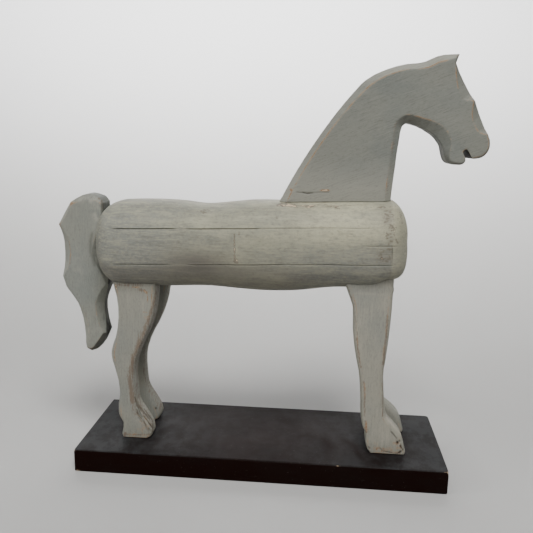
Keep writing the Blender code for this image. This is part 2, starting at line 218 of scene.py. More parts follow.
def set_points(mesh, points):
    mesh.vertices.foreach_set("co", to_frame(points).ravel())
    mesh.update()


def mesh_normals(mesh):
    normals = np.empty(len(mesh.vertices) * 3)
    mesh.vertex_normals.foreach_get("vector", normals)
    return normals.reshape(-1, 3)


def add_attribute(mesh, name, values):
    layer = mesh.attributes.new(name, "FLOAT", "POINT")
    layer.data.foreach_set("value", np.clip(values, 0, 1.5).astype(np.float32))


def new_object(name, data):
    made = bpy.data.objects.new(name, data)
    bpy.context.scene.collection.objects.link(made)
    return made


def add_piece(mesh, node, material):
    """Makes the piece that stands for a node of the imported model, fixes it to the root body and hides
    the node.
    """
    mesh.shade_smooth()
    mesh.materials.clear()
    mesh.materials.append(material)
    piece = new_object("painted_" + node, mesh)
    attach(piece, BODY)
    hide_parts(node)


def keep_in_box(points, node):
    """Points moved back to the node's own box where they stand out of it."""
    return np.clip(points, *to_marks(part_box(node)))


def welded(node):
    bm = bmesh.new()
    bm.from_mesh(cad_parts[node].data)
    bmesh.ops.remove_doubles(bm, verts=bm.verts, dist=1e-6)
    return bm


def fine_mesh(node, voxel):
    """The node's solid as an even mesh of small squares."""
    rough = new_object("rough_" + node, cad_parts[node].data.copy())
    remesh = rough.modifiers.new("even_squares", "REMESH")
    remesh.mode = "VOXEL"
    remesh.voxel_size = voxel * MM
    graph = bpy.context.evaluated_depsgraph_get()
    mesh = bpy.data.meshes.new_from_object(rough.evaluated_get(graph))
    bpy.data.objects.remove(rough, do_unlink=True)
    return mesh


def ridge_points(bm, middle, half, hidden):
    """A search tree of points along the solid's ridges, and how readily each one wears.

    The ridge around the board's face wears most. Ridges in the hidden places are left out.
    """
    places, wear = [], []
    for edge in bm.edges:
        if len(edge.link_faces) != 2 or edge.calc_face_angle() < RIDGE_ANGLE:
            continue
        start, end = (vert.co / MM - Vector((0, 0, BASE_TOP)) for vert in edge.verts)
        if hidden(start) and hidden(end):
            continue
        count = math.ceil((end - start).length / RIDGE_STEP)
        for k in range(count + 1):
            place = start.lerp(end, k / max(1, count))
            places.append(place)
            on_face = abs(place.y - middle) > half - 1
            wear.append(FACE_RIDGE if on_face else OUTER_RIDGE)
    tree = KDTree(len(places))
    for index, place in enumerate(places):
        tree.insert(place, index)
    tree.balance()
    return tree, np.array(wear)


class Board:
    """What a carved board's finish is made from: its fine mesh, its grain and its ridges.

    Its marks lie on its outer side, the right or the left. Outward points are the mesh's own
    with y counted out to that side from the board's middle.
    """

    def __init__(self, node, seed, side, grain, voxel=VOXEL, hidden=lambda place: False):
        self.node = node
        low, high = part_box(node)
        middle = (low.y + high.y) / 2 / MM
        half = (high.y - low.y) / 2 / MM
        self.noise = [Noise(seed + k) for k in range(5)]
        self.mesh = fine_mesh(node, voxel)
        self.points = mesh_points(self.mesh)
        solid = welded(node)
        tree, ridge_wear = ridge_points(solid, middle, half, hidden)
        found = [tree.find(point)[1:] for point in self.points]
        nearest = np.array([index for index, _ in found])
        self.ridge_gap = np.array([gap for _, gap in found])
        self.ridge_wear = ridge_wear[nearest]
        self.set_on(solid)
        self.normals = mesh_normals(self.mesh)
        self.forward, self.leftward, self.upward = self.normals.T
        self.outward = (self.points - (0, middle, 0)) * (1, side, 1)
        self.outer = smoothstep(0.25, 0.7, side * self.leftward)
        self.grain = grain_frame(self.points, grain)

    def set_on(self, solid):
        """Sets the points back on the solid, apart from those on its rounded ridges."""
        surface = BVHTree.FromBMesh(solid)
        exact = to_marks([surface.find_nearest(place)[0] for place in to_frame(self.points)])
        share = smoothstep(0.0, 0.8, self.ridge_gap)[:, None]
        self.points += (exact - self.points) * share
        set_points(self.mesh, self.points)
        solid.free()

    def worn_ridges(self):
        """How readily each point wears as part of a ridge, and the patches that wear more."""
        patches = self.noise[0](self.points, (15, 9, 15)) + 0.5 * self.noise[1](self.grain, (8, 3, 3))
        reach = 1.05 + 0.4 * self.noise[2](self.points, (6, 6, 6))
        near = np.exp(-((self.ridge_gap / reach) ** 2))
        return near * self.ridge_wear, patches

    def surface_depth(self):
        """The depth of the hand-worked surface: its waves, its grain and its soft ridges."""
        waves = BOARD_WAVES * (1 + self.noise[3](self.points, (26, 30, 26)))
        ripples = BOARD_RIPPLES * (1 + self.noise[4](self.grain, (30, 4, 2.6)))
        soft = RIDGE_SOFTNESS * (1 + self.noise[1](self.points, (9, 7, 9)))
        return waves + ripples + soft * np.exp(-((self.ridge_gap / RIDGE_REACH) ** 2))

    def finish(self, depth, layers, material, meeting):
        """Makes the piece, whose meeting points lie against the torso."""
        depth[meeting] = -CONTACT_GAP
        points = keep_in_box(self.points - self.normals * depth[:, None], self.node)
        set_points(self.mesh, points)
        for layer in ("wear", "rubbed", "grime_and_painted_shade", "pale"):
            add_attribute(self.mesh, layer, layers[layer])
        add_piece(self.mesh, self.node, material)


class Paint:
    """A painted surface's material: coats laid over a first shade by noise and mesh layers."""

    def __init__(self, name, shade):
        self.material = bpy.data.materials.new(name)
        self.material.use_nodes = True
        self.tree = self.material.node_tree
        self.shader = self.tree.nodes["Principled BSDF"]
        self.object_place = self.add("ShaderNodeTexCoord").outputs["Object"]
        self.surface = shade

    def add(self, kind, settings=(), **inputs):
        node = self.tree.nodes.new(kind)
        for key, value in dict(settings).items():
            setattr(node, key, value)
        for key, value in inputs.items():
            self.feed(node.inputs[key.replace("_", " ")], value)
        return node

    def feed(self, socket, value):
        """Links or sets the socket. A name stands for the mesh's layer of that name."""
        if isinstance(value, str):
            value = self.add("ShaderNodeAttribute", {"attribute_name": value}).outputs["Fac"]
        if isinstance(value, bpy.types.NodeSocket):
            self.tree.links.new(value, socket)
        else:
            socket.default_value = value

    def noise(self, cell, angle=0.0, detail=2.0, roughness=0.5):
        """Noise whose cells have this size in millimetres, turned to lie along the grain."""
        place = self.add(
            "ShaderNodeMapping", {"vector_type": "TEXTURE"}, Vector=self.object_place,
            Rotation=(0.0, -angle, 0.0), Scale=tuple(size * MM for size in cell),
        )
        noise = self.add(
            "ShaderNodeTexNoise", Vector=place.outputs["Vector"], Scale=1.0, Detail=detail,
            Roughness=roughness,
        )
        return noise.outputs["Fac"]

    def ramp(self, value, low, high, to_low=0.0, to_high=1.0):
        node = self.add(
            "ShaderNodeMapRange", {"interpolation_type": "SMOOTHSTEP"}, Value=value,
            From_Min=low, From_Max=high, To_Min=to_low, To_Max=to_high,
        )
        return node.outputs["Result"]

    def math(self, operation, first, second, *limits):
        """The two combined. Limits, if any, first make a ramp of the second."""
        node = self.add("ShaderNodeMath", {"operation": operation})
        self.feed(node.inputs[0], first)
        self.feed(node.inputs[1], self.ramp(second, *limits) if limits else second)
        return node.outputs[0]

    def coat(self, shade, share, *limits):
        """Lays a shade over the surface by this share, or by a ramp of it."""
        node = self.add("ShaderNodeMix", {"data_type": "RGBA"})
        self.feed(node.inputs["Factor"], self.ramp(share, *limits) if limits else share)
        self.feed(node.inputs[6], self.surface)
        self.feed(node.inputs[7], shade)
        self.surface = node.outputs[2]

    def finish(self, rough, smoothest, roughest, specular, bumps, strength):
        """The finished material. Each bump is a noise and its depth in millimetres."""
        inputs = self.shader.inputs
        self.feed(inputs["Base Color"], self.surface)
        self.feed(inputs["Roughness"], self.ramp(rough, 0.3, 0.7, smoothest, roughest))
        inputs["Specular IOR Level"].default_value = specular
        before = None
        for height, depth in bumps:
            bump = self.add("ShaderNodeBump", Strength=strength, Distance=depth * MM, Height=height)
            if before is not None:
                self.feed(bump.inputs["Normal"], before)
            before = bump.outputs["Normal"]
        self.feed(inputs["Normal"], before)
        return self.material


def color(red, green, blue):
    return (red, green, blue, 1.0)


GREY = color(0.203, 0.206, 0.175)
GREY_COOL = color(0.178, 0.187, 0.166)
GREY_PALE = color(0.286, 0.283, 0.238)
WARM_GREY = color(0.247, 0.242, 0.177)
WARM_COOL = color(0.173, 0.175, 0.145)
WARM_PALE = color(0.354, 0.338, 0.236)
TORSO_COOL = color(0.159, 0.165, 0.148)
# The colour of the torso's painted shade.
TORSO_PAINTED_SHADE = color(0.091, 0.081, 0.069)
BARE_WOOD = color(0.168, 0.092, 0.046)
RUBBED_PRIMER = color(0.27, 0.198, 0.132)
RUBBED_BROWN = color(0.138, 0.104, 0.076)
CREAM_PRIMER = color(0.5, 0.4, 0.28)
# Near black for dark grain, grime, cracks and seams, and for painted shade.
GRIME_AND_PAINTED_SHADE = color(0.015, 0.012, 0.009)
SMEAR_BROWN = color(0.1, 0.08, 0.06)
BLACK = color(0.006, 0.0014, 0.0007)
BLACK_DUSTY = color(0.0066, 0.0044, 0.0037)
# Dust on the base's top, which also stands for a painted sheen there.
DUST_AND_SHEEN = color(0.0262, 0.0266, 0.027)
BASE_IOR = 1.38


def toned(shade, tone):
    return color(*(value * share for value, share in zip(shade, tone)))


def grey_paint(name, angle, tone, grain):
    """Brushed matt paint along the grain, rubbed through to brown wood where it is worn."""
    grey, cool, pale = (toned(shade, tone) for shade in (GREY, GREY_COOL, GREY_PALE))
    paint = Paint(name, grey)
    clouds = paint.noise((55, 55, 55), detail=3.0)
    patches = paint.noise((16, 12, 9), angle)
    streaks = paint.noise((34, 9, 1.9), angle, detail=3.0, roughness=0.6)
    hairs = paint.noise((19, 5, 1.0), angle, detail=3.0, roughness=0.6)
    fine = paint.noise((3.4, 2.4, 1.5), angle, detail=3.0, roughness=0.65)
    strength = paint.ramp(patches, 0.34, 0.66, 0.25 * grain, grain)

    paint.coat(cool, clouds, 0.36, 0.66)
    # The pale layer: pale paint marks, with a painted highlight on the neck's crest and on the tail's back
    # faces.
    paint.coat(pale, paint.math("MULTIPLY", "pale", 0.8))
    paint.coat(pale, streaks, 0.52, 0.8, 0.0, 0.4 * grain)
    paint.coat(GRIME_AND_PAINTED_SHADE, paint.math("MULTIPLY", strength, hairs, 0.28, 0.5, 0.26, 0.0))
    paint.coat(pale, paint.math("MULTIPLY", strength, hairs, 0.54, 0.74, 0.0, 0.36))
    paint.coat(GRIME_AND_PAINTED_SHADE, fine, 0.3, 0.48, 0.16, 0.0)
    paint.coat(pale, fine, 0.54, 0.72, 0.0, 0.2)

    thin = paint.math("ADD", "rubbed", hairs, 0.3, 0.7, 0.25, -0.25)
    thin = paint.math("ADD", thin, fine, 0.3, 0.7, 0.22, -0.22)
    paint.coat(RUBBED_BROWN, thin, 0.26, 1.05, 0.0, 0.88)
    broken = paint.math("ADD", "wear", fine, 0.25, 0.75, -0.26, 0.26)
    paint.coat(RUBBED_PRIMER, broken, 0.28, 0.72, 0.0, 0.75)
    paint.coat(BARE_WOOD, broken, 0.58, 1.0, 0.0, 0.75)
    paint.coat(CREAM_PRIMER, broken, 1.15, 1.35, 0.0, 0.9)
    # The mesh's dark layer: cracks, scores and grime, and painted shade in recesses and under parts.
    paint.coat(GRIME_AND_PAINTED_SHADE, paint.math("MULTIPLY", "grime_and_painted_shade", fine, 0.2, 0.6, 0.75, 1.0))
    bumps = [(streaks, 0.2), (hairs, 0.1), (fine, 0.1)]
    return paint.finish(clouds, 0.62, 0.76, specular=0.25, bumps=bumps, strength=0.35)


def torso_paint(name):
    """Lighter, warmer brushed paint, with brown smears where hands and tools rubbed it."""
    paint = Paint(name, WARM_GREY)
    clouds = paint.noise((50, 60, 22), detail=4.0, roughness=0.6)
    blotches = paint.noise((26, 20, 10))
    streaks = paint.noise((32, 14, 3.0), detail=3.0, roughness=0.55)
    hairs = paint.noise((13, 7, 1.6))
    fine = paint.noise((3.6, 2.8, 2.2))

    paint.coat(WARM_COOL, clouds, 0.3, 0.7, 0.0, 0.75)
    paint.coat(TORSO_COOL, paint.math("MULTIPLY", "cool", 0.9))
    paint.coat(WARM_PALE, blotches, 0.5, 0.68, 0.0, 0.2)
    paint.coat(SMEAR_BROWN, blotches, 0.32, 0.5, 0.14, 0.0)
    # The pale layer: pale paint marks, and a painted highlight on the front end face.
    paint.coat(WARM_PALE, paint.math("MULTIPLY", "pale", 0.9))
    paint.coat(WARM_PALE, streaks, 0.46, 0.74, 0.0, 0.3)
    paint.coat(SMEAR_BROWN, streaks, 0.26, 0.5, 0.16, 0.0)
    paint.coat(GRIME_AND_PAINTED_SHADE, hairs, 0.28, 0.48, 0.14, 0.0)
    paint.coat(WARM_PALE, hairs, 0.54, 0.74, 0.0, 0.4)
    paint.coat(SMEAR_BROWN, fine, 0.3, 0.47, 0.24, 0.0)
    paint.coat(WARM_PALE, fine, 0.53, 0.7, 0.0, 0.36)

    # Painted shade, from the mesh's shade layer.
    paint.coat(TORSO_PAINTED_SHADE, "shade")
    paint.coat(SMEAR_BROWN, paint.math("MULTIPLY", "smear", 0.2))
    smeared = paint.math("ADD", "smear", fine, 0.3, 0.7, -0.55, 0.55)
    paint.coat(SMEAR_BROWN, smeared, 0.35, 1.4, 0.0, 0.74)
    rubbed = paint.math("ADD", "wear", fine, 0.25, 0.75, -0.26, 0.26)
    paint.coat(SMEAR_BROWN, rubbed, 0.16, 0.46, 0.0, 0.7)
    paint.coat(CREAM_PRIMER, rubbed, 0.52, 0.85, 0.0, 0.9)
    paint.coat(GRIME_AND_PAINTED_SHADE, "grime_and_painted_shade")
    bumps = [(streaks, 0.22), (hairs, 0.1), (fine, 0.09)]
    return paint.finish(clouds, 0.6, 0.74, specular=0.35, bumps=bumps, strength=0.3)


def base_paint(name):
    """Satin black paint with faint brush marks and specks, chipped at the edges. Dust and a painted sheen
    grey its top.
    """
    paint = Paint(name, BLACK)
    clouds = paint.noise((90, 60, 40), detail=4.0, roughness=0.6)
    brush = paint.noise((60, 2.2, 3.0), detail=3.0)
    specks = paint.noise((1.5, 1.5, 1.5), detail=1.0)
    fine = paint.noise((3.4, 3.4, 3.4), detail=4.0, roughness=0.7)
    mottles = paint.noise((16, 22, 16), detail=4.0, roughness=0.7)

    paint.coat(BLACK_DUSTY, clouds, 0.4, 0.74, 0.0, 0.5)
    paint.coat(BLACK_DUSTY, brush, 0.5, 0.8, 0.0, 0.35)
    paint.coat(BLACK_DUSTY, fine, 0.52, 0.74, 0.0, 0.7)
    paint.coat(DUST_AND_SHEEN, paint.math("MULTIPLY", "dust_and_sheen", mottles, 0.38, 0.62, 0.45, 0.95))
    paint.coat(GREY, specks, 0.74, 0.8, 0.0, 0.25)
    broken = paint.math("ADD", "wear", fine, 0.25, 0.75, -0.3, 0.3)
    paint.coat(RUBBED_PRIMER, broken, 0.45, 0.95, 0.0, 0.9)
    paint.coat(CREAM_PRIMER, broken, 0.95, 1.25, 0.0, 0.9)
    paint.shader.inputs["IOR"].default_value = BASE_IOR
    bumps = [(brush, 0.1), (fine, 0.06)]
    return paint.finish(clouds, 0.42, 0.58, specular=0.06, bumps=bumps, strength=0.25)


# The marks on each board. A spot is x, z, its reach along each and its strength. A line is
# its strength or depth, its half-width and its route, whose y is counted from the board's
# middle out to the side that it marks.
NECK_GRAIN = math.radians(21)
NECK_FOOT = 312.5
NECK_FOOT_MIDDLE = 85.0
NECK_FOOT_HALF = 66.0
NECK_HALF = 18.5
NECK_PALER = (372.0, 318.0)
NECK_TONE = (0.77, 0.77, 0.77)
NECK_STREAKS = 0.9
UPRIGHT_GRAIN = math.pi / 2
HOOF_GRAIN = math.radians(-58)
HIND_TONE = (1.03, 0.995, 0.975)
FORE_TONE = (1.16, 1.1, 1.06)
LEG_STREAKS = 0.8
TAIL_TONE = (0.92, 0.92, 0.92)
TAIL_STREAKS = 0.85
TAIL_MEETS = 210.0
# The tail's painted shade: where it weakens with height on the forward faces, the heights of the shaded
# front top, and of the shaded tip.
TAIL_FRONT_SHADE_FADES = (270.0, 290.0)
TAIL_TOP_SHADE = (284.0, 290.0)
TAIL_TIP_SHADE = (140.0, 130.0)
LEG_MEETS = 190.0
LEG_HALF = 12
CONTACT_GAP = 0.3
NECK_WORN = [
    (60, 350, 60, 60, 0.3), (130, 452, 40, 14, 0.3), (213, 447, 7, 16, 0.6), (233, 412, 5, 9, 0.6),
    (235, 427, 5, 4, 0.6), (252, 390, 5, 6, 0.5), (176, 403, 9, 5, 0.5), (158, 406, 14, 8, -0.5),
    (198, 388, 22, 14, -0.5), (206, 360, 10, 18, -0.4), (148, 360, 5, 46, -0.2), (196, 474, 24, 4, -0.2),
    (240, 372, 10, 6, -0.2),
]
NECK_RUBBED = [
    (0.8, 9, (168, 5, 408), (186, 5, 404), (204, 5, 392), (211, 5, 374), (214, 8, 358)),
    (0.6, 3, (214, 16, 358), (222, 17, 356), (234, 16, 360), (250, 16, 368), (256, 14, 380)),
    (0.9, 1.6, (209, 14, 464), (212.8, 15, 452), (213.6, 15, 441)),
    (0.9, 1.6, (234.5, 14, 425), (232.8, 15, 416), (232.6, 15, 407)),
    (0.6, 2, (149, 18, 400), (147, 17.6, 370), (144.7, 17.7, 341), (143, 17.7, 316)),
]
NECK_CHIPS = [(70.5, 322.2, 5.5, 1.1, 1.6), (74, 322.9, 3.0, 0.9, 0.8), (31, 322, 1.5, 2.2, 1.2)]
NECK_PALE = [
    (118, 325, 10, 1.6, 0.9), (58, 321.3, 14, 0.8, 0.8), (100, 322.6, 8, 1, 0.4),
    (60, 313.6, 30, 1.1, 0.8), (125, 313.8, 36, 1.1, 0.9), (215, 420, 32, 32, 0.15),
]
NECK_CRACK = [
    (0.75, 0.75, (45, 18.5, 319.2), (51, 18.5, 318), (57, 18.5, 318.8)),
    (0.45, 0.6, (38, 18.5, 319.4), (50, 18.5, 318.6), (63, 18.5, 319.6), (76, 18.5, 320.3)),
]
MOUTH = (230.4, 366.0, 10.0)
THROAT_FOOT = 345.0
JAW_START = 180.0
FACE_START = 214.0

TAIL_WORN = [
    (-240, 300.5, 6, 5, 0.9), (-247, 283, 5, 5, 0.5), (-257, 273, 5, 6, 0.8), (-245, 240, 6, 16, 0.6),
    (-203, 305, 6, 4, 0.4), (-222, 110, 12, 5, 0.6), (-245, 204, 10, 12, 0.3), (-228, 142, 5, 20, 0.2),
]
TAIL_SPECKLED = [(-240, 299, 3.4, 2.4, 1.1), (-202, 301, 3, 4, 0.25), (-216, 304, 10, 2, 0.3)]
TAIL_RUBBED = [
    (0.8, 2, (-206, 12, 305), (-202, 12, 301), (-201, 13, 294)),
    (1, 0.9, (-245.5, 15, 251), (-244.5, 15.5, 237), (-245, 15, 223)),
    (0.6, 1.5, (-222, 13, 306), (-206, 12, 305)), (0.9, 2.2, (-223, 15, 107), (-219, 14, 111)),
]
# Lines of painted shade along the tail's facets.
TAIL_PAINTED_SHADE = [
    (0.36, 2.4, (-214.5, 15, 262), (-217.5, 15, 252), (-218, 15, 240), (-213.5, 15, 222)),
    (0.25, 0.6, (-224, 15, 152), (-222, 15, 115)), (0.22, 0.6, (-228, 15, 166), (-227, 15, 122)),
    (0.25, 0.7, (-214, 15, 180), (-216, 15, 140)),
    (0.3, 0.8, (-231, 13, 168), (-230, 12, 148), (-226, 14, 128)),
]
TAIL_PALE = [
    (-236, 215, 7, 34, 0.45), (-216, 304, 14, 4, 1), (-209, 287, 6, 15, 0.9), (-207, 160, 9, 28, 0.35),
    (-209, 135, 7, 12, 0.3), (-225, 140, 8, 18, 0.3),
]

HIND_MARKS = {
    "worn": [
        (-186, 112, 6, 18, 0.6), (-182, 190, 6, 14, 0.4), (-180, 28, 6, 14, 0.6), (-160, 1, 30, 5, 0.3),
        (-134, 190, 6, 12, 0.4), (-143, 20, 6, 16, 0.2),
    ],
    "speckled": [
        (-160, 201, 26, 3, 0.4), (-178, 199, 4, 4, 0.3), (-152, 16, 14, 12, 0.35), (-160, 5, 24, 2.2, 0.5),
        (-134, 194, 3, 5, 0.4), (-143, 165, 4, 6, 0.4),
    ],
    "chips": [
        (1.7, 1, (-179.2, 203), (-179, 198.5)), (1.5, 0.8, (-159, 201.3), (-152, 200.6)),
        (1.5, 1, (-143.6, 197.2), (-141.6, 194.2)), (1.5, 0.7, (-140.6, 196), (-139.8, 188), (-140, 183)),
        (1, 0.7, (-146, 170), (-141, 169.5)), (1, 0.7, (-145, 163.5), (-140, 164.5)),
    ],
    "rubbed": [
        (0.75, 2.2, (-176, 203.6), (-165, 203.2), (-155, 204.2), (-146, 203.8)),
        (0.8, 2.6, (-150, 198), (-143, 197)),
        (0.9, 3.2, (-130, 11, 190), (-134, 176), (-139.5, 161), (-147, 143)),
        (1, 4, (-147, 143), (-153.5, 128), (-159.5, 111), (-163.5, 96)),
        (1, 4.4, (-163.5, 96), (-165, 80), (-164.5, 64), (-162.5, 50)),
        (0.65, 3.6, (-162.5, 50), (-160, 34)),
        (0.5, 4.5, (-131, 4, 180), (-137.5, 8, 154), (-145.5, 8, 135), (-153.2, 7, 118)),
        (0.5, 4.5, (-153.2, 7, 118), (-158.4, 6, 102), (-160, 6, 86), (-160, 7, 68), (-157, 8, 50)),
        (0.6, 1.3, (-148.6, 11.8, 23), (-145.5, 11.7, 17), (-144.3, 11.7, 14)),
        (0.6, 1.6, (-189, 10, 118), (-189, 10, 104)), (0.5, 1.6, (-182, 11, 40), (-180, 11, 28)),
        (0.8, 1.5, (-176, 4.7), (-155, 5.4), (-142, 11.3, 6.5)), (0.5, 2, (-152, 11), (-151, 7)),
        (1.2, 1.8, (-175, 1), (-174, 7)),
    ],
    "furrows": [(0.64, 7.0, (-155, 9, 40), (-148, 9, 28), (-142, 7, 14))],
    # Brown on the forward-facing facets: rubbed wood, partly painted shade.
    "front": 0.48,
    "pale": [(-160, 188, 14, 12, 0.4), (-146, 180, 5, 16, 0.5), (-150, 26, 12, 12, 0.5)],
    "pale_lines": [
        (0.8, 1.2, (-132, 3, 190), (-133.5, 4, 172)), (0.6, 1, (-151, 10.6, 37), (-143, 9, 25)),
        (0.9, 1.2, (-176, 1.5), (-155, 1.5), (-144, 11, 3)),
    ],
    "scores": [
        (0.6, 0.9, (-160.4, 9.6, 55.7), (-157.6, 8, 47.7), (-154.9, 7.6, 42.2), (-152.9, 9.2, 37.5)),
        (0.7, 0.9, (-151, 2.3, 37.1), (-146.9, 1.6, 30.6), (-142.5, 2.2, 23.6)),
        (0.6, 0.7, (-156.2, 29.6), (-151.9, 23.3)),
        (0.7, 0.7, (-158.7, 11.3, 40.1), (-156.1, 11.6, 34.9), (-151.9, 11.4, 29.5)),
        (0.8, 0.9, (-160, 9.2, 54), (-158, 10.1, 46), (-155.4, 10.5, 39.5), (-153.6, 11, 34)),
        (0.9, 0.8, (-158.2, 36.5), (-155.2, 31), (-152, 27.4)),
        (0.8, 0.8, (-150.5, 6.3, 37), (-149.5, 6.3, 34.5), (-146.7, 6.5, 30)),
        (1, 0.8, (-149.4, 10.2, 31), (-146, 9.6, 26), (-143, 9.2, 21), (-141, 8.4, 17.4)),
        (0.3, 1, (-148.6, 11.8, 22), (-145.5, 11.7, 17), (-144.3, 11.7, 14)),
        (0.9, 0.9, (-144.7, 0.7, 27), (-142.3, 0, 23), (-139.8, 1.2, 17), (-138.6, 2.5, 12)),
        (0.6, 0.8, (-139.5, 5, 18), (-138.6, 6, 12), (-139, 7.3, 8)),
        (0.3, 1.2, (-134, 5, 186), (-139, 4, 160), (-157, 4, 116), (-161, 3, 76), (-159, 2, 52)),
    ],
}
HIND_NAIL = (1.0, 1.2, (-147.9, -11.3, 17.8), (-147.9, -11.3, 16.8))
FAR_HIND_MARKS = dict(HIND_MARKS, scores=HIND_MARKS["scores"] + [HIND_NAIL])

FORE_MARKS = {
    "worn": [
        (110, 190, 6, 20, 0.5), (113, 146, 6, 16, 0.5), (160, 2, 26, 4, 0.3), (178, 12, 6, 10, 0.4),
        (134, 12, 5, 8, 0.3), (152, 170, 6, 30, 0.4),
    ],
    "chips": [
        (0.65, 1, (150.6, 172), (149.8, 150), (149.2, 138)), (0.9, 1.2, (127.4, 92), (128.6, 74)),
        (1, 1.6, (131.6, 43), (132.2, 30)), (0.6, 0.8, (114, 160), (117, 136), (121, 118)),
    ],
    "speckled": [
        (158, 6, 24, 4, 0.45), (171, 14, 8, 12, 0.5), (150, 196, 3, 16, 0.25), (132, 33, 3, 7, 0.6),
        (145, 12, 12, 9, 0.3),
    ],
    "rubbed": [
        (0.6, 1.3, (102, 11, 212), (108, 11, 195), (113, 11.5, 173), (115.6, 11.5, 149)),
        (0.9, 1.8, (115.6, 11.5, 149), (117.7, 11.5, 131), (121.5, 11.5, 113)),
        (0.9, 1.5, (126, 94), (128, 78), (129, 60), (129.6, 49)),
        (1.1, 2.4, (131, 43), (131.6, 37), (132, 29)),
        (0.85, 2.2, (150, 178), (149.5, 11.5, 150), (148.8, 11.5, 134), (148, 11, 118)),
        (0.8, 1, (148.5, 11, 93), (150, 11, 77), (150.5, 11, 65), (150.8, 51)),
        (0.8, 1.1, (152, 4.2), (165, 2.7), (175, 2.6)), (0.5, 2.5, (170, 20), (176, 11)),
    ],
    "pale": [(118, 160, 6, 30, 0.5), (150, 190, 6, 20, 0.4), (156, 24, 22, 18, 0.6)],
    "pale_lines": [
        (1.1, 3.4, (156, 9, 47), (163.5, 8, 39.5), (170, 7, 33), (175.6, 6, 25)),
        (0.8, 1.2, (140, 1), (160, 1), (176, 1.2)), (0.3, 1.8, (112, 205), (146, 204)),
    ],
    "scores": [
        (0.8, 0.8, (162.7, 30.5), (166.5, 26.2), (169.5, 22.3)), (1.4, 1.4, (171.1, 17), (171.1, 16.2)),
        (0.9, 0.9, (173.4, 11.6, 19.6), (174, 11.6, 18.6)), (1.1, 1, (175, 12.6), (176.5, 9.4)),
        (1, 1, (178.4, 11.5, 8), (178.6, 11.5, 7)), (1, 1.2, (173.7, 3), (175.9, 4.9)),
        (0.5, 0.7, (155, 4.1), (165, 2.9)), (0.7, 0.8, (135.9, 11.8, 8.4), (137.8, 6.8)),
        (0.5, 0.8, (150, 8), (153, 5)), (0.3, 0.8, (150.6, 10.6, 92), (151.5, 10.6, 72), (151.6, 11, 54)),
    ],
}
FORE_TOP_BULGE = (155.5, 209.5, 4.0, 3.2, 0.9)


def make_neck():
    def in_foot(place):
        return place.z < NECK_FOOT

    board = Board("neck_and_head", NECK_SEED, RIGHT, NECK_GRAIN, NECK_VOXEL, in_foot)
    points, outward = board.points, board.outward
    height = points[:, 2]
    near, patches = board.worn_ridges()
    wear = near * np.clip(0.62 + 0.5 * patches + spots(points, NECK_WORN), 0, 1.0)
    wear += board.outer * spots(points, NECK_CHIPS)
    crack = strokes(outward, NECK_CRACK)
    x, z, reach = MOUTH
    in_mouth = np.hypot(points[:, 0] - x, height - z) < reach
    # Painted shade on the mouth slot's walls, under the throat and on the back of the jaw.
    mouth_wall_shade = in_mouth * smoothstep(0.8, 0.55, np.abs(board.leftward))
    jaw_back_shade = (points[:, 0] > JAW_START) * smoothstep(0.3, 0.8, -board.forward)
    throat_shade = np.maximum(smoothstep(0.3, 0.7, -board.upward), jaw_back_shade)
    throat_shade *= height > THROAT_FOOT
    # Painted highlight on the up-facing crest.
    painted_crest_highlight = smoothstep(0.25, 0.6, board.upward) * (points[:, 0] < FACE_START)
    paler = spots(points, NECK_PALE) + 1.2 * smoothstep(*NECK_PALER, height)
    layers = {
        "wear": wear,
        "rubbed": strokes(outward, NECK_RUBBED) * np.clip(0.8 + 0.5 * patches, 0, 1.2),
        # The dark crack, and painted shade in the mouth and under the throat and jaw.
        "grime_and_painted_shade": np.clip(1.2 * crack + mouth_wall_shade + 0.15 * throat_shade, 0, 1),
        # Pale paint marks on the outer face, and the crest's painted highlight.
        "pale": board.outer * paler + 1.25 * painted_crest_highlight,
    }
    depth = board.surface_depth() + crack + 0.35 * np.clip(wear - 0.9, 0, 1)
    material = grey_paint("neck_paint", NECK_GRAIN, NECK_TONE, NECK_STREAKS)
    meeting = (height < NECK_FOOT) & ((board.upward < -0.5) | (board.ridge_gap < 1.0))
    board.finish(depth, layers, material, meeting)


def make_tail():
    board = Board("tail", TAIL_SEED, RIGHT, UPRIGHT_GRAIN)
    points, outward = board.points, board.outward
    height = points[:, 2]
    near, patches = board.worn_ridges()
    # Painted shade on the faces turned towards the torso, on the front top and under the tip.
    front = smoothstep(0.86, 0.98, board.forward)
    front *= 1 - 0.35 * smoothstep(*TAIL_FRONT_SHADE_FADES, height)
    front_top_shade = smoothstep(0.45, 0.75, board.forward) * smoothstep(*TAIL_TOP_SHADE, height)
    tip_shade = smoothstep(0.2, 0.6, -board.upward) * smoothstep(*TAIL_TIP_SHADE, height)
    painted_shade = np.maximum(np.maximum(0.35 * front_top_shade, 0.5 * tip_shade), strokes(outward, TAIL_PAINTED_SHADE))
    mottles = board.noise[2](points, (5, 5, 5)) + 0.5 * board.noise[3](points, (2.4, 2.4, 2.4))
    paler = board.outer * spots(points, TAIL_PALE) * np.clip(0.65 + 0.9 * mottles, 0, 1.4)
    layers = {
        "wear": np.maximum(
            near * np.clip(0.25 + 0.4 * patches + spots(points, TAIL_WORN), 0, 1.1),
            board.outer * spots(points, TAIL_SPECKLED) * (0.9 + 0.7 * mottles),
        ),
        "rubbed": strokes(outward, TAIL_RUBBED) * np.clip(0.9 + 0.5 * mottles, 0, 1.2),
        # Painted shade on the tail, strongest on the faces turned towards the torso.
        "grime_and_painted_shade": np.maximum(painted_shade, front * np.clip(0.86 + 0.4 * patches, 0.5, 0.97)),
        # Pale paint spots on the outer face, and a painted highlight on the faces turned back.
        "pale": paler + 0.5 * smoothstep(0.2, 0.7, -board.forward),
    }
    material = grey_paint("tail_paint", UPRIGHT_GRAIN, TAIL_TONE, TAIL_STREAKS)
    meeting = (height > TAIL_MEETS) & (board.forward > 0.5)
    board.finish(board.surface_depth(), layers, material, meeting)


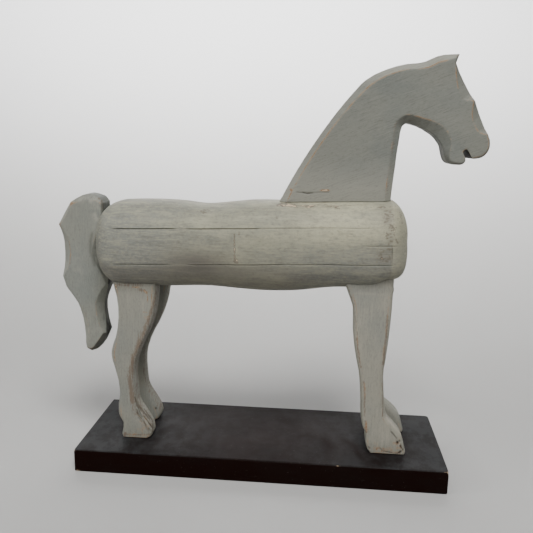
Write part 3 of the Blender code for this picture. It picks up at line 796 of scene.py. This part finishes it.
def make_leg(node, seed, side, marks, bulge, material):
    board = Board(node, seed, side, UPRIGHT_GRAIN)
    points, noise = board.points, board.noise
    near, patches = board.worn_ridges()

    def lines(kind):
        return strokes(board.outward, marks.get(kind, []), LEG_HALF)

    def patched(kind):
        return spots(points, marks[kind])

    streaks = noise[2](board.grain, (22, 6, 1.8)) + 0.5 * noise[3](board.grain, (7, 3, 2.2))
    along_hoof = grain_frame(points, HOOF_GRAIN)
    furrows = noise[4](along_hoof, (11, 6, 1.4)) + 0.5 * noise[1](along_hoof, (6, 4, 2.0))
    furrowed = lines("furrows")
    ridges = furrowed * smoothstep(0.0, -0.6, furrows)
    scored = np.maximum(lines("scores"), furrowed * smoothstep(0.1, 0.6, furrows))
    wear = near * np.clip(0.3 + 0.42 * patches + patched("worn"), 0, 1.0)
    mottles = noise[2](points, (4, 4, 4)) + noise[0](points, (2, 2, 2))
    speckles = board.outer * patched("speckled") * (0.9 + 0.7 * mottles)
    chips = lines("chips") * np.clip(0.85 + 0.4 * mottles, 0.3, 1.15)
    wear = np.maximum(np.maximum(wear, speckles), chips)
    pale = board.outer * patched("pale") * np.clip(0.6 + 0.7 * streaks, 0, 1.2)
    rubbed = lines("rubbed") * np.clip(1.0 + 0.3 * streaks, 0.5, 1.25)
    # Rubbed brown laid on the forward-facing facets, partly painted shade.
    rubbed = np.maximum(rubbed, marks.get("front", 0) * smoothstep(0.4, 0.8, board.forward))
    layers = {
        "wear": wear + 0.2 * scored + 0.5 * ridges,
        "rubbed": rubbed + 0.3 * scored + 0.3 * (furrowed - ridges),
        "grime_and_painted_shade": np.clip(0.85 * scored, 0, 0.9),
        "pale": np.maximum(np.maximum(pale, ridges), lines("pale_lines")),
    }
    depth = board.surface_depth() + scored
    if bulge:
        depth -= spot(points, bulge) * smoothstep(0.2, 0.7, board.forward)
    meeting = (points[:, 2] > LEG_MEETS) & (board.upward > 0.5)
    board.finish(depth, layers, material, meeting)


def make_legs():
    hind_paint = grey_paint("hind_leg_paint", UPRIGHT_GRAIN, HIND_TONE, LEG_STREAKS)
    fore_paint = grey_paint("fore_leg_paint", UPRIGHT_GRAIN, FORE_TONE, LEG_STREAKS)
    make_leg("hind_leg_right", LEG_SEED, RIGHT, HIND_MARKS, None, hind_paint)
    make_leg("hind_leg_left", LEG_SEED + 1, LEFT, FAR_HIND_MARKS, None, hind_paint)
    make_leg("fore_leg_right", LEG_SEED + 2, RIGHT, FORE_MARKS, FORE_TOP_BULGE, fore_paint)
    make_leg("fore_leg_left", LEG_SEED + 3, LEFT, FORE_MARKS, None, fore_paint)


def smooth_profile(points, xs):
    """The height at each x of the smooth curve through these points, level beyond them."""
    points = np.array(points)
    steps = np.diff(points, axis=0)
    chords = np.linalg.norm(steps, axis=1)[:, None]
    rates = steps / chords
    inner = (rates[:-1] * chords[1:] + rates[1:] * chords[:-1]) / (chords[:-1] + chords[1:])
    slopes = np.vstack([rates[:1], inner, rates[-1:]])
    curve = []
    for i, chord in enumerate(chords[:, 0]):
        t = np.arange(0, 1, 1 / chord)[:, None]
        rise = 3 * t**2 - 2 * t**3
        leaving = slopes[i] * chord * (t**3 - 2 * t**2 + t)
        arriving = slopes[i + 1] * chord * (t**3 - t**2)
        curve.append(points[i] + steps[i] * rise + leaving + arriving)
    curve = np.vstack(curve + [points[-1:]])
    return np.interp(xs, curve[:, 0], curve[:, 1])


def dome_shrink(run, power):
    return np.maximum(0, 1 - run**power) ** (1 / power)


def dome_runs(rings):
    """Shares of the way out along a rounded end, one for each ring short of its pole."""
    return np.sin(math.pi / 2 * np.arange(1, rings) / rings)


def with_close_rings(runs, close):
    """The runs with close ones put in where a joint crosses the torso."""
    away = (runs < close[0]) | (runs > close[-1])
    return np.sort(np.concatenate([runs[away], close]))


def half_section(up, down, belly_power):
    """Half of the torso's section, top to bottom, with close points at the seams."""
    turn = np.sin(np.linspace(math.pi / 2, -math.pi / 2, TORSO_CURVE_POINTS))
    angle = math.pi / 2 * turn
    top = angle > 0
    power = np.where(top, TORSO_TOP_POWER, belly_power)
    reach = np.where(top, up, down)
    y = TORSO_WIDTH / 2 * np.abs(np.cos(angle)) ** (2 / power)
    height = np.sign(angle) * np.abs(np.sin(angle)) ** (2 / power) * reach
    middles = (height[1:] + height[:-1]) / 2
    weight = np.ones(len(middles))
    for seam, closeness in ((UPPER_SEAM[0], 5), (LOWER_SEAM[0], 5), (SHORT_CRACK[0], 3)):
        weight += closeness * np.exp(-(((middles - seam) / 1.7) ** 2))
    steps = np.hypot(np.diff(y), np.diff(height)) * weight
    run = np.concatenate([[0], np.cumsum(steps)])
    even = np.linspace(0, run[-1], TORSO_HALF_POINTS + 1)
    return np.interp(even, run, y), np.interp(even, run, height)


def torso_surface():
    """The torso's points, its faces, and each point's height from the middle line."""
    rear, front = dome_runs(TORSO_REAR_RINGS)[::-1], dome_runs(TORSO_FRONT_RINGS)
    front = with_close_rings(front, (BUTT_JOINT_RINGS - TORSO_FRONT_START) / TORSO_FRONT_DOME)
    straight = np.linspace(TORSO_REAR_START, TORSO_FRONT_START, TORSO_STRAIGHT_RINGS)
    straight = with_close_rings(straight, PALE_BUTT_RINGS)
    xs = np.concatenate([
        TORSO_REAR_START - TORSO_REAR_DOME * rear,
        straight,
        TORSO_FRONT_START + TORSO_FRONT_DOME * front,
    ])
    whole = np.ones(len(straight))
    rear_shrink = dome_shrink(rear, TORSO_REAR_POWER)
    high = np.concatenate([rear_shrink, whole, dome_shrink(front, TORSO_FRONT_POWER)])
    low = np.concatenate([rear_shrink, whole, dome_shrink(front, TORSO_FRONT_POWER_LOW)])
    share = (xs - TORSO_REAR_START) / (TORSO_FRONT_START - TORSO_REAR_START)
    middle = TORSO_MIDDLE_REAR + (TORSO_MIDDLE_FRONT - TORSO_MIDDLE_REAR) * share
    up = smooth_profile(TORSO_TOP, xs) - middle
    down = middle - smooth_profile(TORSO_BOTTOM, xs)
    belly = smooth_profile(TORSO_BELLY_POWER, xs)

    points, heights = [], []
    for i, x in enumerate(xs):
        y, height = half_section(up[i], down[i], belly[i])
        y = np.concatenate([y, -y[-2:0:-1]])
        height = np.concatenate([height, height[-2:0:-1]])
        shrink = high[i] + (low[i] - high[i]) * np.maximum(0, -height / down[i])
        ring = np.column_stack([np.full(len(y), x), y * shrink, middle[i] + height * shrink])
        points.append(ring)
        heights.append(height)
    poles = [
        (TORSO_REAR_START - TORSO_REAR_DOME, 0, middle[0]),
        (TORSO_FRONT_START + TORSO_FRONT_DOME, 0, middle[-1]),
    ]
    count, rings = len(points[0]), len(points)
    faces = []
    for i in range(count):
        j = (i + 1) % count
        faces.append((rings * count, i, j))
        last = (rings - 1) * count
        faces.append((last + j, last + i, rings * count + 1))
        faces += [(k + j, k + i, k + count + i, k + count + j) for k in range(0, last, count)]
    return np.vstack(points + [poles]), faces, np.concatenate(heights + [[0, 0]])


def seam_opening(seam, x, height):
    """How open a seam is at each point: it fades out at the ends of its stretches."""
    at, stretches = seam
    wanders = 0.25 * np.sin(x / 31.0) + 0.12 * np.sin(x / 9.7)
    near = np.exp(-(((height - at - wanders) / SEAM_HALF_WIDTH) ** 2))
    opening = np.zeros(len(x))
    for start, end, share in stretches:
        inside = np.minimum(x - start, end - x)
        opening = np.maximum(opening, share * smoothstep(-SEAM_FADE / 2, SEAM_FADE, inside))
    return near * opening


TORSO_SMEARS = [
    (141, 302, 6, 6, 0.6), (144, 296, 5, 6, 0.55), (141, 291, 5, 5, 0.5), (146, 283, 3, 6, 0.6),
    (146, 270, 3, 5, 0.5), (143, 256, 5, 7, 0.6), (136, 254, 6, 8, 0.5), (139, 247, 6, 4, 0.6),
    (149, 253, 1.6, 9, 0.5), (159, 297, 2, 7, 0.7), (17, 292.5, 2.2, 1.6, 1.1), (-4, 301, 22, 3, 0.35),
    (40, 300, 16, 5, 0.3), (30, 306.3, 12, 0.8, 0.8), (60, 250, 50, 5, 0.22), (-60, 240, 30, 5, 0.25),
    (147, 286, 9, 22, 0.28), (156, 285, 5, 18, 0.25), (145, 303, 12, 4, 0.2),
]
TORSO_PALE = [
    (37, 303.5, 22, 2.4, 0.9), (78, 303, 24, 3, 0.7), (60, 306.5, 60, 1.6, 0.8), (95, 294, 34, 9, 0.7),
    (-28, 252, 1.4, 13, 0.8), (-100, 282, 70, 5, 0.25), (60, 270, 60, 7, 0.45), (110, 276, 26, 8, 0.5),
    (95, 288, 60, 20, 0.35), (85, 280, 75, 20, 0.5), (110, 306, 55, 4, 0.7), (98, 283, 62, 5, 0.6),
]
TORSO_DARK = (-78, 240, 44, 15, 0.62)
TORSO_RUBBED = [
    (22, 305, 7, 1.3, 1.1), (34, 305, 7, 1.2, 1), (54, 304, 6, 1.2, 0.8), (-69, 296, 6, 2.2, 0.5),
    (70, 306, 8, 1, 0.7), (87, 303.5, 8, 1, 0.5), (-28, 241, 1.6, 3, 0.8), (144, 276, 3, 5, 0.6),
    (139, 249, 3, 3, 0.5), (137, 306, 8, 1, 0.6),
]
TORSO_RIGHT = (-2.0, -12.0)
# Where the front end face starts; from there it carries a painted highlight.
TORSO_END_FACE_HIGHLIGHT = (148.0, 151.0)
TORSO_BACK = (285.0, 300.0)
TORSO_COOL_REAR = (-60.0, -160.0)
TORSO_COOL_FRONT = (-10.0, 70.0)
TORSO_COOL_LOW = (282.0, 240.0)
# Heights over which the torso's painted shade deepens towards the bottom, and where the painted shade
# below the lower seam fades out towards the front.
TORSO_PAINTED_SHADE_FALLS = (16.0, -18.0)
TORSO_PAINTED_SHADE_FADES = (20.0, 90.0)
NECK_EDGE = (5.0, 1.0)
BUTT_JOINT = [
    (0.8, 0.6, (149.3, 54.7, 261.5), (149.8, 54.5, 250)), (0.4, 0.5, (149.8, 54.5, 250), (150.1, 54, 242)),
]
PALE_BUTT = [(0.3, 0.6, (-27.8, 54.5, 264), (-28.3, 54.5, 239))]
TORSO_DASHES = [
    (1.2, 1.3, (21, 30, 304), (30, 31, 303.4), (40, 34.7, 302.4)),
    (1.1, 1.2, (43, 31.5, 304), (52, 31, 304.5), (63, 30.6, 304.8)),
    (1, 1.1, (68, 32, 304.4), (88, 33.7, 304.4)),
    (1, 1.1, (92, 31, 305.8), (109, 28.8, 307), (121, 28, 307.8)),
    (1.1, 1.2, (8, 24, 304.8), (21, 19, 306.5), (56, 19, 308.1), (80, 20, 307.9)),
    (1, 1.4, (140.5, 33.9, 305.7), (137, 44, 298.6)),
    (1, 1.7, (136.4, 44.7, 298.1), (143.2, 49.4, 291.9), (148.4, 52.4, 285.5)),
    (0.8, 1.3, (148.4, 52.4, 285.5), (150.5, 54, 276), (148, 54.5, 268)),
    (0.8, 1.4, (159.7, 38.9, 294.4), (160.5, 42, 284)), (0.9, 1.3, (144.7, 54.8, 271), (144.9, 54.8, 265)),
    (0.75, 3, (144.4, 54.9, 260), (138.7, 54.9, 257), (136.6, 54.8, 248.5)),
    (1, 2, (147.6, 54.8, 260), (147, 54.8, 252), (143.5, 54.7, 245.1)),
    (0.9, 1.3, (130.7, 29, 307.6), (140, 29, 307.8), (147.6, 31, 307.1)),
    (1.1, 1.6, (139.3, 35.5, 305.1), (143.4, 41.4, 301.3), (146.5, 46.4, 296.3)),
    (1.2, 1.7, (158.6, 39.4, 295.7), (159.7, 42.4, 290.4)),
    (0.8, 1.6, (147.6, 52.2, 285.8), (152.3, 52.2, 281.4)),
    (1, 1.4, (-25.6, 53.8, 275), (-25.6, 53.8, 272)),
    (0.9, 1.8, (150.3, 53.9, 274.7), (155.3, 52.4, 267.8)),
]
TORSO_CREAM = [
    (1.2, 1.5, (20, 26.5, 305.2), (33, 29, 304.4), (40, 32.5, 303.3)),
    (1, 1.3, (45, 29, 305), (60, 28.4, 305.6)), (0.9, 1.3, (70, 30, 305.3), (90, 31, 305.6)),
    (0.7, 1, (-28, 54.6, 243.5), (-28, 54.4, 238.5)),
    (0.72, 0.9, (-31.2, 54, 272), (-30.6, 54.9, 260), (-30.2, 54.4, 240)),
]


def make_torso():
    points, faces, heights = torso_surface()
    mesh = bpy.data.meshes.new("painted_torso")
    mesh.from_pydata(to_frame(points).tolist(), [], faces)
    bm = bmesh.new()
    bm.from_mesh(mesh)
    bmesh.ops.recalc_face_normals(bm, faces=bm.faces)
    bm.to_mesh(mesh)
    bm.free()
    normals = mesh_normals(mesh)
    x, y, z = points.T
    outward = points * (1, -1, 1)

    noise = [Noise(TORSO_SEED + k) for k in range(5)]
    right = smoothstep(*TORSO_RIGHT, y)
    seams = seam_opening(UPPER_SEAM, x, heights) + seam_opening(LOWER_SEAM, x, heights)
    seams += right * seam_opening(SHORT_CRACK, x, heights)
    joints = strokes(outward, BUTT_JOINT)
    waves = TORSO_WAVES * (1 + noise[0](points, (34, 30, 22)))
    ripples = TORSO_RIPPLES * (1 + noise[1](points, (40, 6, 3.2)))
    planks = smoothstep(UPPER_SEAM[0] + 0.5, UPPER_SEAM[0] - 0.5, heights)
    planks -= smoothstep(LOWER_SEAM[0] + 0.5, LOWER_SEAM[0] - 0.5, heights)
    depth = waves + ripples + PLANK_STEP * planks + SEAM_DEPTH * seams + joints
    depth += strokes(outward, PALE_BUTT)
    past_neck = np.maximum(np.abs(x - NECK_FOOT_MIDDLE) - NECK_FOOT_HALF, np.abs(y) - NECK_HALF)
    depth *= 1 - 0.9 * smoothstep(*NECK_EDGE, past_neck) * smoothstep(0.5, 0.9, normals[:, 2])

    broken = 0.7 * noise[2](points, (5, 5, 3)) + 0.8 * noise[3](points, (2.6, 3, 1.6))
    # Painted shade below the lower seam, weaker towards the front.
    below = smoothstep(LOWER_SEAM[0] + 1.0, LOWER_SEAM[0] - 5.0, heights)
    below *= 1 - 0.72 * smoothstep(*TORSO_PAINTED_SHADE_FADES, x)
    cool = smoothstep(*TORSO_COOL_REAR, x) * (1 - 0.6 * smoothstep(*TORSO_BACK, z))
    cool += 0.8 * smoothstep(*TORSO_COOL_LOW, z) * smoothstep(*TORSO_COOL_FRONT, x)
    smears = np.maximum(right * spots(points, TORSO_SMEARS), strokes(outward, TORSO_DASHES))
    paler = right * spots(points, TORSO_PALE) * np.clip(0.7 + 0.5 * broken, 0, 1)
    rubbed = np.maximum(right * spots(points, TORSO_RUBBED), strokes(outward, TORSO_CREAM))
    layers = {
        "smear": smears * np.clip(0.92 + 0.55 * broken, 0.1, 1.4),
        # The shade layer: painted shade towards the bottom and below the lower seam, and a darker patch on
        # the rear of the flank.
        "shade": 0.15 * smoothstep(*TORSO_PAINTED_SHADE_FALLS, heights) + 0.32 * below + spot(points, TORSO_DARK),
        # Pale paint marks on the right side, and a painted highlight on the front end face.
        "pale": paler + 0.4 * smoothstep(*TORSO_END_FACE_HIGHLIGHT, x),
        "wear": rubbed * np.clip(0.85 + 0.7 * broken, 0, 1.2),
        "grime_and_painted_shade": np.clip(0.95 * seams + 0.8 * joints, 0, 0.95),
        "cool": np.clip(cool + 0.25 * noise[4](points, (60, 40, 16)), 0, 1),
    }
    set_points(mesh, keep_in_box(points - normals * depth[:, None], "torso"))
    for name, values in layers.items():
        add_attribute(mesh, name, values)
    add_piece(mesh, "torso", torso_paint("torso_paint"))


BASE_ROUND = 2.0
BASE_GRID = 2.6
BASE_EDGE_GRID = (0.0, 0.5, 1.0, 1.5, 2.0, 2.7, 3.6)
BASE_CHIPS = [
    (1, -1, 1, 3.4, 1.6), (0.43, -1, 1, 2, 1.1), (-0.98, -1, -1, 3, 1.2), (1, 1, 1, 2.6, 1),
    (-1, -1, 1, 2.2, 0.8),
]
BASE_SCUFFS = [
    (0.7, 4.5, (50, -8, 0), (58, -4, 0), (68, -8, 0)), (0.8, 5, (81, -13, 0), (90, -31, 0)),
    (0.8, 4, (108, -12, 0), (120, -25, 0), (124, -47, 0), (128, -56, 0)),
    (0.5, 7, (-28, -37, 0), (-12, -33, 0)),
]


def grid_lines(low, high):
    """Lines across the base, closer together at its rounded edges."""
    start, end = low + BASE_EDGE_GRID[-1], high - BASE_EDGE_GRID[-1]
    inner = np.linspace(start, end, round((end - start) / BASE_GRID) + 1)[1:-1]
    edge = np.array(BASE_EDGE_GRID)
    return np.concatenate([low + edge, inner, high - edge[::-1]])


def box_surface(lines):
    """The points and square faces of a box's skin on the given lines along each axis."""
    sizes = [len(line) for line in lines]
    index, places, faces = {}, [], []

    def corner(key):
        if key not in index:
            index[key] = len(places)
            places.append([line[k] for line, k in zip(lines, key)])
        return index[key]

    for axis in range(3):
        one, two = (axis + 1) % 3, (axis + 2) % 3
        for level in (0, sizes[axis] - 1):
            for i, j in np.ndindex(sizes[one] - 1, sizes[two] - 1):
                keys = []
                for di, dj in ((0, 0), (1, 0), (1, 1), (0, 1)):
                    key = [0, 0, 0]
                    key[axis], key[one], key[two] = level, i + di, j + dj
                    keys.append(corner(tuple(key)))
                faces.append(keys if level else keys[::-1])
    return np.array(places), faces


def make_base():
    low, high = to_marks(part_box("base"))
    points, faces = box_surface([grid_lines(low[k], high[k]) for k in range(3)])
    core = np.clip(points, low + BASE_ROUND, high - BASE_ROUND)
    out = points - core
    length = np.linalg.norm(out, axis=1)[:, None]
    normals = out / np.maximum(length, 1e-9)
    points = core + normals * BASE_ROUND

    noise = [Noise(BASE_SEED + k) for k in range(3)]
    middle, half = (low + high) / 2, (high - low) / 2
    depth = BASE_WAVES * (1 + noise[0](points, (50, 30, 20)))
    depth += BASE_RIPPLES * (1 + noise[1](points, (24, 3, 4)))
    edge = smoothstep(0.8, 0.99, 1 - np.abs(normals).max(axis=1) + 0.7)
    wear = 0.25 * edge * (1 + noise[2](points, (14, 9, 9)))
    for *place, reach, deep in BASE_CHIPS:
        centre = middle + half * place
        near = np.exp(-((np.linalg.norm(points - centre, axis=1) / reach) ** 2))
        depth += deep * near
        wear += 1.3 * near
    depth *= points[:, 2] > low[2] + BASE_ROUND

    mesh = bpy.data.meshes.new("painted_base")
    mesh.from_pydata(points.tolist(), [], faces)
    set_points(mesh, keep_in_box(points - normals * depth[:, None], "base"))
    add_attribute(mesh, "wear", wear)
    toward_end = points[:, 0] / half[0]
    # Dust and a painted sheen on the base's top, stronger towards its ends and wiped along the scuffs.
    patches = noise[0](points, (30, 36, 20)) + 0.5 * noise[1](points, (12, 16, 12))
    dust_and_sheen = (0.28 + 1.2 * toward_end**2) * np.clip(1 + 0.35 * patches, 0.4, 1.5)
    dust_and_sheen *= 1 - strokes(points, BASE_SCUFFS)
    add_attribute(mesh, "dust_and_sheen", smoothstep(0.3, 0.8, normals[:, 2]) * dust_and_sheen)
    add_piece(mesh, "base", base_paint("base_paint"))


STAGE_WIDTH = 9.0
STAGE_FRONT = -3.0
STAGE_BACK = 1.3
STAGE_HEIGHT = 3.6
STAGE_CURVE = 0.9
STAGE_STEPS = 24
STAGE_FLOOR = color(0.4, 0.395, 0.385)
STAGE_WALL = color(0.86, 0.86, 0.86)
STAGE_ROUGHNESS = 0.9
STAGE_SPECULAR = 0.1


def stage_material(name):
    """Pale grey that lightens from the floor up the wall."""
    paint = Paint(name, STAGE_FLOOR)
    split = paint.add("ShaderNodeSeparateXYZ", Vector=paint.object_place)
    paint.coat(STAGE_WALL, split.outputs["Z"], 0.0, STAGE_CURVE)
    paint.feed(paint.shader.inputs["Base Color"], paint.surface)
    paint.shader.inputs["Roughness"].default_value = STAGE_ROUGHNESS
    paint.shader.inputs["Specular IOR Level"].default_value = STAGE_SPECULAR
    return paint.material


def make_stage():
    """A pale floor that curves up into the wall behind."""
    profile = [(STAGE_FRONT, 0.0)]
    for k in range(STAGE_STEPS + 1):
        angle = math.pi / 2 * k / STAGE_STEPS
        y = STAGE_BACK - STAGE_CURVE + STAGE_CURVE * math.sin(angle)
        profile.append((y, STAGE_CURVE * (1 - math.cos(angle))))
    profile.append((STAGE_BACK, STAGE_HEIGHT))
    half = STAGE_WIDTH / 2
    points = [(x, y, z) for y, z in profile for x in (-half, half)]
    faces = [(2 * k, 2 * k + 1, 2 * k + 3, 2 * k + 2) for k in range(len(profile) - 1)]
    mesh = bpy.data.meshes.new("backdrop")
    mesh.from_pydata(points, [], faces)
    mesh.shade_smooth()
    mesh.materials.append(stage_material("backdrop_paint"))
    backdrop = new_object("backdrop", mesh)


# Each lamp's place, what it is aimed at, its width and height, its power and its spread.
LIGHTS = {
    "key_light": ((0.45, -1.25, 2.5), (0.0, 0.0, 0.25), (1.0, 1.0), 58.0, 150),
    "front_light": ((-0.1, -2.6, 0.7), (0.0, 0.0, 0.2), (0.8, 0.8), 7.0, 120),
    "rear_light": ((-1.7, -0.7, 0.9), (0.0, 0.0, 0.25), (0.7, 0.7), 7.0, 120),
    "wall_light": ((-0.5, -0.3, 2.4), (-0.2, 1.3, 1.1), (2.2, 0.8), 45.0, 70),
}
ROOM_COLOR = color(0.94, 0.97, 1.0)
ROOM_STRENGTH = 0.07


def make_lights():
    for name, (place, target, size, power, spread) in LIGHTS.items():
        data = bpy.data.lights.new(name, "AREA")
        data.spread = math.radians(spread)
        data.shape = "RECTANGLE"
        data.size, data.size_y = size
        data.energy = power
        light = new_object(name, data)
        light.location = place
        aim = Vector(target) - Vector(place)
        light.rotation_euler = aim.to_track_quat("-Z", "Y").to_euler()
    world = bpy.data.worlds.new("studio")
    world.use_nodes = True
    background = world.node_tree.nodes["Background"]
    background.inputs["Color"].default_value = ROOM_COLOR
    background.inputs["Strength"].default_value = ROOM_STRENGTH
    bpy.context.scene.world = world


def make_camera():
    """The camera that sees the base board's corners where the photograph has them."""
    data = bpy.data.cameras.new("camera")
    data.sensor_width = SENSOR_WIDTH
    data.lens = SENSOR_WIDTH * FOCAL_PIXELS / IMAGE_WIDTH
    camera = new_object("camera", data)
    turn = Matrix.Rotation(CAMERA_YAW, 4, "Z") @ Matrix.Rotation(CAMERA_PITCH, 4, "X")
    turn = turn @ Matrix.Rotation(CAMERA_ROLL, 4, "Y") @ Matrix.Rotation(math.pi / 2, 4, "X")
    camera.matrix_world = Matrix.Translation(CAMERA_PLACE) @ turn
    bpy.context.scene.camera = camera


make_camera()
make_neck()
make_tail()
make_legs()
make_torso()
make_base()
make_stage()
make_lights()
